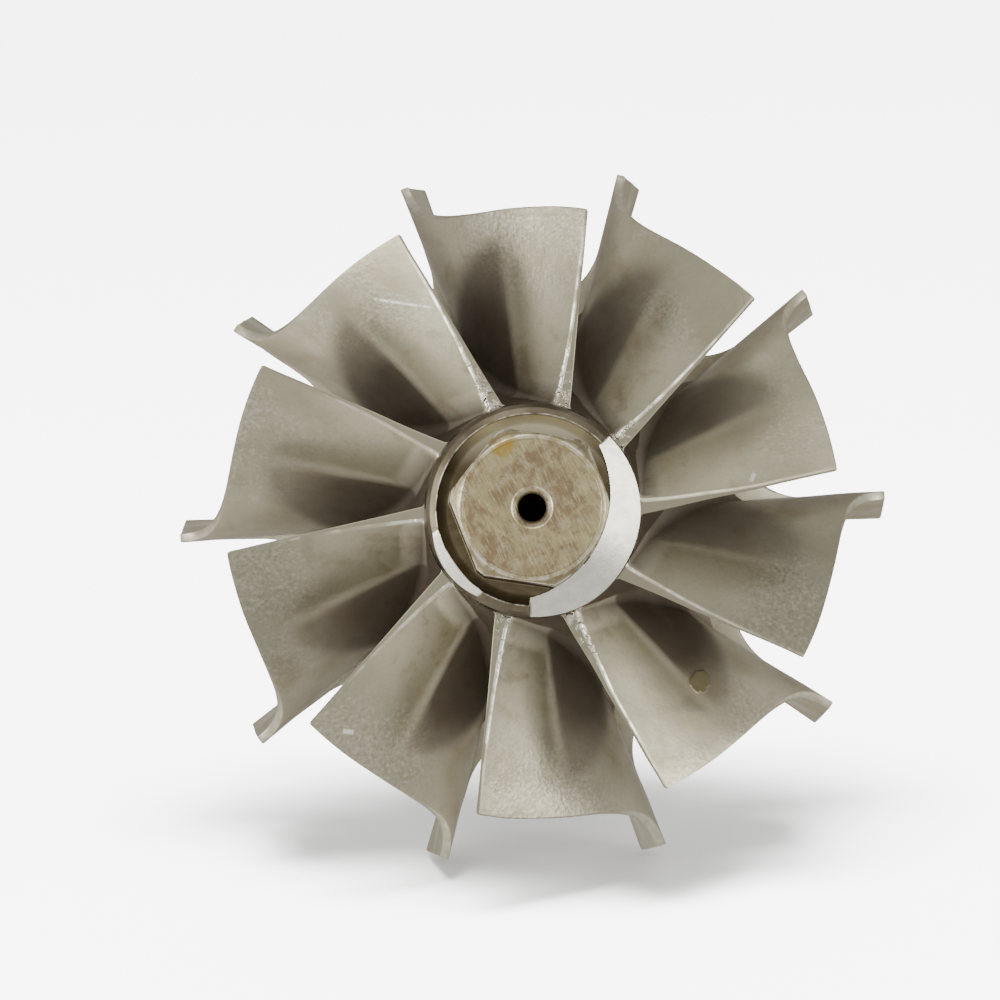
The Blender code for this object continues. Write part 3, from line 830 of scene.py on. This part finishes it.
class Nodes:
    """Short helpers that build one material's node tree."""

    def __init__(self, name):
        self.material = bpy.data.materials.new(name)
        self.material.use_nodes = True
        self.tree = self.material.node_tree
        self.shader = self.tree.nodes["Principled BSDF"]
        source = self.tree.nodes.new("ShaderNodeTexCoord")
        rotor = self.tree.nodes.new("ShaderNodeMapping")
        rotor.vector_type = "TEXTURE"
        rotor.inputs["Location"].default_value = rotor_matrix().to_translation()
        rotor.inputs["Rotation"].default_value = rotor_matrix().to_euler()
        self.tree.links.new(source.outputs["Object"], rotor.inputs["Vector"])
        self.place = rotor.outputs["Vector"]

    def link(self, source, target):
        self.tree.links.new(source, target)

    def feed(self, socket, value):
        if isinstance(value, (int, float)):
            socket.default_value = value
        elif isinstance(value, tuple):
            opaque = len(value) == 3 and len(socket.default_value) == 4
            socket.default_value = (*value, 1.0) if opaque else value
        else:
            self.link(value, socket)

    def math(self, operation, first, second=0.0, third=0.0):
        node = self.tree.nodes.new("ShaderNodeMath")
        node.operation = operation
        for socket, value in zip(node.inputs, (first, second, third)):
            self.feed(socket, value)
        return node.outputs[0]

    def plus(self, first, second):
        return self.math("ADD", first, second)

    def minus(self, first, second):
        return self.math("SUBTRACT", first, second)

    def times(self, first, second):
        return self.math("MULTIPLY", first, second)

    def mix(self, share, first, second, kind="RGBA"):
        node = self.tree.nodes.new("ShaderNodeMix")
        node.data_type = kind
        for key, value in (("Factor", share), ("A", first), ("B", second)):
            self.feed(node.inputs[key], value)
        return node.outputs["Result"]

    def blend(self, share, first, second):
        return self.mix(share, first, second, "FLOAT")

    def scaled(self, color, factor):
        node = self.tree.nodes.new("ShaderNodeVectorMath")
        node.operation = "SCALE"
        self.link(color, node.inputs[0])
        self.link(factor, node.inputs["Scale"])
        return node.outputs["Vector"]

    def noise(self, scale, detail=4.0, roughness=0.55, vector=None, distortion=0.0):
        node = self.tree.nodes.new("ShaderNodeTexNoise")
        node.inputs["Scale"].default_value = scale
        node.inputs["Detail"].default_value = detail
        node.inputs["Roughness"].default_value = roughness
        node.inputs["Distortion"].default_value = distortion
        self.link(vector or self.place, node.inputs["Vector"])
        return node.outputs["Fac"]

    def stretch(self, value, low, high):
        """The value's range from low to high turned smoothly into 0 to 1."""
        node = self.tree.nodes.new("ShaderNodeMapRange")
        node.interpolation_type = "SMOOTHSTEP"
        self.feed(node.inputs["Value"], value)
        node.inputs["From Min"].default_value = low
        node.inputs["From Max"].default_value = high
        return node.outputs["Result"]

    def measure(self, value, low, high):
        """The value's range between two lengths in millimetres turned into 0 to 1."""
        return self.stretch(value, low * MM, high * MM)

    def attribute(self, name):
        node = self.tree.nodes.new("ShaderNodeAttribute")
        node.attribute_name = name
        return node.outputs["Fac"]

    def turned(self, centre=(0.0, 0.0)):
        """Radius about an axis along the rotor's, height, x and y, as outputs in metres."""
        split = self.tree.nodes.new("ShaderNodeSeparateXYZ")
        self.link(self.place, split.inputs[0])
        x = self.minus(split.outputs["X"], centre[0] * MM)
        y = self.minus(split.outputs["Y"], centre[1] * MM)
        squares = self.plus(self.times(x, x), self.times(y, y))
        return self.math("SQRT", squares), split.outputs["Z"], x, y

    def vector(self, x, y, z):
        node = self.tree.nodes.new("ShaderNodeCombineXYZ")
        for socket, value in zip(node.inputs, (x, y, z)):
            self.feed(socket, value)
        return node.outputs[0]

    def edges(self):
        """1 along outer edges, 0 on flat and hollow parts."""
        pointed = self.tree.nodes.new("ShaderNodeNewGeometry").outputs["Pointiness"]
        return self.stretch(pointed, 0.52, 0.6)

    def bump(self, height, distance, strength=1.0, below=None):
        node = self.tree.nodes.new("ShaderNodeBump")
        node.inputs["Strength"].default_value = strength
        node.inputs["Distance"].default_value = distance
        self.feed(node.inputs["Height"], height)
        if below is not None:
            self.link(below, node.inputs["Normal"])
        return node.outputs["Normal"]

    def finish(self, color, roughness, normal, metallic=1.0):
        self.feed(self.shader.inputs["Base Color"], color)
        self.feed(self.shader.inputs["Roughness"], roughness)
        self.feed(self.shader.inputs["Metallic"], metallic)
        if normal is not None:
            self.link(normal, self.shader.inputs["Normal"])
        return self.material


def near_height(n, height, centre):
    """1 within a few millimetres of the centre's height."""
    return n.measure(n.math("ABSOLUTE", n.minus(height, centre[2] * MM)), 4.0, 3.0)


def stroke(n, centre, length, width, angle):
    """1 within a short mark on a blade, seen from the front and near one height."""
    height, x, y = n.turned(centre[:2])[1:]
    turn = math.radians(angle)
    along = n.plus(n.times(x, math.cos(turn)), n.times(y, math.sin(turn)))
    across = n.minus(n.times(y, math.cos(turn)), n.times(x, math.sin(turn)))
    along = n.measure(n.math("ABSOLUTE", along), 0.56 * length, 0.44 * length)
    across = n.measure(n.math("ABSOLUTE", across), 0.62 * width, 0.38 * width)
    return n.times(n.times(along, across), near_height(n, height, centre))


def dent(n, centre, size):
    """1 within a rough round mark on a blade, seen from the front and near one height."""
    around, height = n.turned(centre[:2])[:2]
    uneven = n.times(n.minus(n.noise(700.0, 2.0), 0.5), 1.4 * size * MM)
    around = n.measure(n.plus(around, uneven), 1.15 * size, 0.85 * size)
    return n.times(around, near_height(n, height, centre))


def cast_color(n, cloud, patch, skin, rough_cast):
    """The cast metal before soot, painted shade and wear: clouds, painted light near the hub, patches and a
    speckled skin.
    """
    color = n.mix(n.stretch(cloud, 0.35, 0.65), CAST_BROWN, CAST_GREY)
    color = n.mix(n.times(n.attribute("painted_root_light"), 0.8), color, CAST_PAINTED_LIGHT)
    color = n.mix(n.times(n.stretch(patch, 0.5, 0.68), 0.6), color, CAST_PATCH_DARK)
    color = n.mix(n.times(n.stretch(patch, 0.45, 0.32), 0.35), color, CAST_PATCH_LIGHT)
    color = n.mix(n.times(skin, n.stretch(rough_cast, 0.5, 0.68)), color, SKIN_LIGHT)
    color = n.mix(n.times(skin, n.stretch(rough_cast, 0.48, 0.34)), color, SKIN_DARK)
    return n.mix(n.times(n.attribute("skin"), 0.5), color, SKIN_TONE)


def bare_metal_and_glints(n, pits, chips):
    """Where wear, chips, a scratch and nicks show bright metal and glints are painted as highlights, 0 to
    1.
    """
    worn = n.times(n.stretch(n.attribute("edge"), 0.3, 1.0), n.blend(n.stretch(pits, 0.4, 0.6), 0.4, 1.0))
    glint = n.times(n.stretch(n.attribute("glint"), 0.1, 0.7), n.stretch(n.noise(420.0, 2.0), 0.38, 0.6))
    bright = n.math("MAXIMUM", n.times(worn, 0.5), n.times(chips, 0.75))
    bright = n.math("MAXIMUM", bright, glint)
    marks = [n.times(stroke(n, *SCRATCH), n.stretch(pits, 0.35, 0.55))]
    marks += [stroke(n, *nick) for nick in NICKS]
    for mark in marks:
        bright = n.math("MAXIMUM", bright, n.times(mark, 0.9))
    return bright


def blade_metal():
    """Cast nickel alloy, warm grey and satin, with worn edges, painted glints and painted light, and depths
    darkened by soot and painted shade.
    """
    n = Nodes("cast_blades")
    radius, height = n.turned()[:2]
    cloud = n.noise(70.0, 3.0)
    patch = n.noise(240.0, 4.0, 0.6, distortion=0.5)
    grain = n.noise(3000.0, 2.0, 0.7)
    pits = n.noise(1100.0, 2.0, 0.6)
    rough_cast = n.noise(2300.0, 3.0, 0.6)
    skin = n.times(n.attribute("skin"), n.stretch(cloud, 0.38, 0.58))
    turned_back = n.times(n.measure(height, -0.02, -0.08), n.measure(radius, STEP_R + 0.05, STEP_R - 0.1))
    # Soot with painted shade, weaker on the turned back
    soot_and_shade = n.times(n.attribute("soot_and_shade"), n.blend(n.noise(110.0), 0.85, 1.1))
    soot_and_shade = n.math("MINIMUM", n.times(soot_and_shade, n.blend(turned_back, 1.0, 0.35)), 0.97)
    chips = n.times(n.stretch(n.attribute("chips"), 0.25, 0.9), n.stretch(pits, 0.48, 0.6))
    bright = bare_metal_and_glints(n, pits, chips)
    dimple = dent(n, *DIMPLE)
    color = cast_color(n, cloud, patch, skin, rough_cast)
    color = n.mix(n.times(n.stretch(grain, 0.45, 0.7), 0.14), color, SPECK)
    # Painted light: the colour scaled per blade
    color = n.scaled(color, n.attribute("painted_light_scale"))
    color = n.mix(soot_and_shade, color, SOOT_AND_SHADE)
    color = n.mix(n.times(dimple, 0.85), color, DIMPLE_FLOOR)
    color = n.mix(n.times(n.attribute("end"), 0.75), color, END_FACE)
    color = n.mix(bright, color, BARE_METAL_AND_GLINT)
    rough = n.blend(n.stretch(patch, 0.3, 0.7), 0.27, 0.36)
    rough = n.blend(n.attribute("painted_root_light"), rough, 0.46)
    rough = n.blend(soot_and_shade, rough, 0.6)
    rough = n.blend(bright, rough, 0.22)
    n.feed(n.shader.inputs["Specular IOR Level"], n.blend(soot_and_shade, 0.5, 0.15))
    n.shader.inputs["Specular Tint"].default_value = (0.6, 0.56, 0.5, 1.0)
    normal = n.bump(grain, 0.00002, 0.5)
    normal = n.bump(n.noise(500.0, 3.0), 0.00006, 0.5, normal)
    normal = n.bump(n.times(skin, rough_cast), 0.00005, 0.7, normal)
    normal = n.bump(dimple, 0.0001, 1.0, normal)
    rings = n.noise(1.0, 3.0, 0.6, n.vector(n.times(radius, 5000.0), 0.2, 0.4))
    normal = n.bump(n.times(rings, turned_back), 0.00004, 0.7, normal)
    normal = n.bump(n.times(chips, pits), 0.0005, 0.9, normal)
    return n.finish(color, rough, normal, n.blend(soot_and_shade, 1.0, 0.3))


def cone_mask(n, cut):
    """1 on the surface that one balance cut left, 0 elsewhere."""
    direction, offset, slope, start, top = cut
    centre = (-offset * math.cos(direction), -offset * math.sin(direction))
    around, height = n.turned(centre)[:2]
    level = n.math("MULTIPLY_ADD", around, -slope, (top + slope * (start + offset)) * MM)
    touching = n.measure(n.minus(height, level), -0.06, -0.01)
    beyond = n.measure(around, start + offset - 0.06, start + offset)
    low = n.measure(height, NOSE_FACE_W + 0.2, NOSE_FACE_W + 0.1)
    return n.times(n.times(touching, beyond), low)


def nose_metal():
    """The turned and ground nose: a khaki face, a recess in painted shade with painted light at its top,
    and bright ground crescents.
    """
    n = Nodes("ground_nose")
    radius, height, x, y = n.turned()
    cuts = [cone_mask(n, cut) for cut in BALANCE_CUTS]
    ground = n.times(n.math("MAXIMUM", *cuts), n.stretch(n.attribute("stone"), 0.4, 0.7))
    rings = n.noise(1.0, 3.0, 0.6, n.vector(n.times(radius, 6000.0), 0.3, 0.7))
    patch = n.noise(230.0, 5.0, 0.6, distortion=0.9)
    mottle = n.noise(800.0, 4.0, 0.65)
    face = n.measure(height, HEX_TOP_W - 0.8, HEX_TOP_W - 0.4)
    recess = n.measure(height, HEX_TOP_W - 0.5, HEX_TOP_W - 1.5)
    recess = n.times(recess, n.measure(radius, NOSE_RIM_R + 0.04, NOSE_RIM_R - 0.1))
    across = n.plus(x, n.times(y, 0.45))
    along = n.minus(y, n.times(x, 0.45))
    strokes = n.noise(1.0, 3.0, 0.7, n.vector(n.times(across, 4200.0), n.times(along, 500.0), 0.0))
    shoulder = n.mix(n.stretch(patch, 0.35, 0.65), SHOULDER_DARK, SHOULDER_LIGHT)
    # Painted shade in the recess, lighter toward the top as painted light
    painted_recess_shade = n.mix(n.stretch(patch, 0.35, 0.65), RECESS_DARK, RECESS_LIGHT)
    painted_recess_shade = n.mix(n.measure(y, 4.0, 8.5), painted_recess_shade, RECESS_TOP_PAINTED_LIGHT)
    khaki = n.mix(n.stretch(patch, 0.44, 0.56), FACE_KHAKI, FACE_BROWN)
    # Painted glints as light flecks
    khaki = n.mix(n.times(n.stretch(mottle, 0.45, 0.62), 0.65), khaki, FACE_GLINT_FLECK)
    khaki = n.mix(n.times(n.stretch(n.noise(1600.0, 3.0), 0.52, 0.66), 0.6), khaki, FACE_SPECK)
    khaki = n.mix(n.times(n.stretch(strokes, 0.52, 0.68), 0.6), khaki, STROKE_LIGHT)
    khaki = n.mix(n.times(n.stretch(strokes, 0.46, 0.32), 0.55), khaki, STROKE_DARK)
    stain = n.measure(n.turned(STAIN_CENTRE)[0], 1.25 * STAIN_R, 0.75 * STAIN_R)
    stain = n.times(stain, n.stretch(mottle, 0.2, 0.45))
    khaki = n.mix(stain, khaki, STAIN)
    # Painted shade on the chamfer
    chamfer = n.times(n.measure(radius, HEX_FACE_R - 0.08, HEX_FACE_R + 0.1), face)
    khaki = n.mix(n.times(chamfer, 0.8), khaki, CHAMFER_SHADE)
    color = n.mix(face, n.mix(recess, shoulder, painted_recess_shade), khaki)
    # Painted shade in the drill hole
    bore_shade = n.measure(height, HEX_TOP_W - 0.6, HEX_TOP_W - 1.4)
    bore_shade = n.times(n.measure(radius, HOLE_R + 0.17, HOLE_R + 0.05), bore_shade)
    color = n.mix(n.times(bore_shade, 0.9), color, BORE_SHADE)
    color = n.mix(ground, color, n.mix(n.stretch(mottle, 0.3, 0.7), GROUND_LIGHT, GROUND_DARK))
    # Wear and painted highlights along the edges
    edge = n.times(n.attribute("edge"), n.stretch(mottle, 0.35, 0.6))
    color = n.mix(n.times(edge, 0.8), color, NOSE_EDGE_HIGHLIGHT)
    rough = n.blend(face, 0.34, 0.3)
    rough = n.blend(ground, rough, 0.27)
    rough = n.plus(rough, n.times(n.minus(mottle, 0.5), 0.12))
    normal = n.bump(n.times(rings, face), 0.00002, 0.5)
    normal = n.bump(n.times(strokes, face), 0.00005, 0.7, normal)
    normal = n.bump(mottle, 0.00004, 0.4, normal)
    return n.finish(color, rough, normal)


def steel():
    """Turned and ground steel with lines around the axis."""
    n = Nodes("ground_shaft_steel")
    radius, height = n.turned()[:2]
    lines = n.noise(1.0, 4.0, 0.7, n.vector(n.times(radius, 5000.0), 0.0, n.times(height, 5000.0)))
    stain = n.noise(70.0, 5.0, 0.6, distortion=1.0)
    heat = n.measure(height, -30.0, -6.0)
    color = n.mix(n.stretch(stain, 0.4, 0.7), STEEL_LIGHT, STEEL_DARK)
    color = n.mix(n.times(n.stretch(lines, 0.48, 0.66), 0.55), color, STEEL_LINE)
    color = n.mix(n.times(heat, 0.6), color, STEEL_HEATED)
    color = n.mix(n.times(n.edges(), 0.7), color, STEEL_EDGE)
    rough = n.blend(n.stretch(stain, 0.3, 0.7), 0.17, 0.3)
    return n.finish(color, rough, n.bump(lines, 0.00003, 0.7))


def weld_metal():
    """Weld bead with straw and blue heat tint."""
    n = Nodes("weld_tint")
    tint = n.noise(160.0, 4.0, 0.6, distortion=0.7)
    color = n.mix(n.stretch(tint, 0.3, 0.55), WELD_BROWN, WELD_BLUE)
    color = n.mix(n.stretch(tint, 0.55, 0.75), color, WELD_STRAW)
    rough = n.blend(n.stretch(n.noise(400.0), 0.3, 0.7), 0.32, 0.55)
    return n.finish(color, rough, n.bump(n.noise(900.0, 3.0), 0.0001, 0.5))


def ring_iron():
    """Dark ring iron, rubbed bright on its running face."""
    n = Nodes("seal_ring_metal")
    rub = n.measure(n.turned()[0], RING_R - 0.15, RING_R - 0.02)
    color = n.mix(n.stretch(n.noise(300.0), 0.35, 0.65), IRON_DARK, IRON_LIGHT)
    color = n.mix(rub, color, IRON_RUBBED)
    rough = n.blend(n.stretch(n.noise(700.0), 0.3, 0.7), 0.34, 0.5)
    return n.finish(color, rough, n.bump(n.noise(1800.0, 2.0), 0.00004, 0.5))


def floor_material():
    n = Nodes("pale_floor")
    color = n.mix(n.noise(6.0, 2.0), FLOOR_GREY, FLOOR_PALE)
    return n.finish(color, 0.9, None, metallic=0.0)


# Stage, lights and camera


def add_stage():
    """A pale floor that sweeps up into a back wall."""
    profile = [(FLOOR_FRONT, 0.0), (SWEEP_START, 0.0)]
    for turn in np.radians(np.linspace(5.0, 90.0, 18)):
        profile.append((SWEEP_START + SWEEP_R * math.sin(turn), SWEEP_R - SWEEP_R * math.cos(turn)))
    profile.append((SWEEP_START + SWEEP_R, WALL_TOP))
    points = []
    for y, z in profile:
        points += [(-FLOOR_HALF_WIDTH, y, z), (FLOOR_HALF_WIDTH, y, z)]
    faces = [(2 * k, 2 * k + 1, 2 * k + 3, 2 * k + 2) for k in range(len(profile) - 1)]
    mesh = bpy.data.meshes.new("studio_floor")
    mesh.from_pydata(points, [], faces)
    mesh.shade_smooth()
    mesh.materials.append(floor_material())
    floor = bpy.data.objects.new("studio_floor", mesh)
    bpy.context.scene.collection.objects.link(floor)
    return floor


def add_area_light(name, place, aim, size, power, receivers=None):
    light = bpy.data.lights.new(name, "AREA")
    light.shape = "RECTANGLE"
    light.size = size[0]
    light.size_y = size[1]
    light.energy = power
    lamp = bpy.data.objects.new(name, light)
    lamp.location = place
    direction = Vector(aim) - Vector(place)
    lamp.rotation_euler = direction.to_track_quat("-Z", "Y").to_euler()
    lamp.light_linking.receiver_collection = receivers
    bpy.context.scene.collection.objects.link(lamp)


def add_lights(floor):
    """Broad lamps for the pale floor and softer ones for the wheel."""
    floor_only = bpy.data.collections.new("lit_by_floor_lamps")
    floor_only.objects.link(floor)
    for name, place, size, power in FLOOR_LAMPS:
        add_area_light(name, place, FLOOR_AIM, size, power, floor_only)
    for name, place, size, power in WHEEL_LAMPS:
        add_area_light(name, place, WHEEL_AIM, size, power)


def add_world():
    """A soft room, brightest low on the left."""
    world = bpy.data.worlds.new("soft_room")
    world.use_nodes = True
    tree = world.node_tree
    place = tree.nodes.new("ShaderNodeTexCoord")
    along = tree.nodes.new("ShaderNodeVectorMath")
    along.operation = "DOT_PRODUCT"
    along.inputs[1].default_value = Vector(ROOM_BRIGHT_SIDE).normalized()
    share = tree.nodes.new("ShaderNodeMapRange")
    share.inputs["From Min"].default_value = -1.0
    ramp = tree.nodes.new("ShaderNodeValToRGB")
    tree.links.new(place.outputs["Generated"], along.inputs[0])
    tree.links.new(along.outputs["Value"], share.inputs["Value"])
    tree.links.new(share.outputs["Result"], ramp.inputs["Fac"])
    while len(ramp.color_ramp.elements) < len(ROOM_LEVELS):
        ramp.color_ramp.elements.new(0.5)
    for element, (position, level) in zip(ramp.color_ramp.elements, ROOM_LEVELS):
        element.position = position
        element.color = (level, level, level, 1.0)
    background = tree.nodes["Background"]
    tree.links.new(ramp.outputs["Color"], background.inputs["Color"])
    background.inputs["Strength"].default_value = ROOM_STRENGTH
    bpy.context.scene.world = world


def add_camera():
    azimuth, elevation = CAMERA_AZIMUTH, CAMERA_ELEVATION
    away = Vector((
        math.sin(azimuth) * math.cos(elevation),
        -math.cos(azimuth) * math.cos(elevation),
        math.sin(elevation),
    ))
    right = (-away).cross(Vector((0.0, 0.0, 1.0))).normalized()
    up = right.cross(-away)
    rolled_right = right * math.cos(CAMERA_ROLL) + up * math.sin(CAMERA_ROLL)
    rolled_up = up * math.cos(CAMERA_ROLL) - right * math.sin(CAMERA_ROLL)
    rows = zip(rolled_right, rolled_up, away)
    data = bpy.data.cameras.new("photo_camera")
    data.lens = CAMERA_LENS
    data.sensor_width = 36.0
    data.clip_start = 0.01
    camera = bpy.data.objects.new("photo_camera", data)
    place = (Vector(CAMERA_TARGET) + away * CAMERA_DISTANCE) * MM
    camera.matrix_world = Matrix.Translation(place) @ Matrix(list(rows)).to_4x4()
    bpy.context.scene.collection.objects.link(camera)
    bpy.context.scene.camera = camera


def main():
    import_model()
    blades = blade_metal()
    wheel = [add_blade(index, blades) for index in range(BLADES)]
    wheel.append(add_hub(blades))
    wheel.append(add_nose(nose_metal()))
    for piece in wheel:
        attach(piece, "root")
    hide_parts("wheel_casting")
    others = (
        (add_shaft(steel()), "rotor_shaft", "ground_steel"),
        (add_weld(weld_metal()), "weld_seam", "weld_metal"),
        (add_seal_ring(ring_iron()), "seal_ring", "ring_iron"),
    )
    for piece, node, slot in others:
        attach(piece, "root")
        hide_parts(node)
    floor = add_stage()
    floor.visible_glossy = False
    add_lights(floor)
    add_world()
    add_camera()


main()
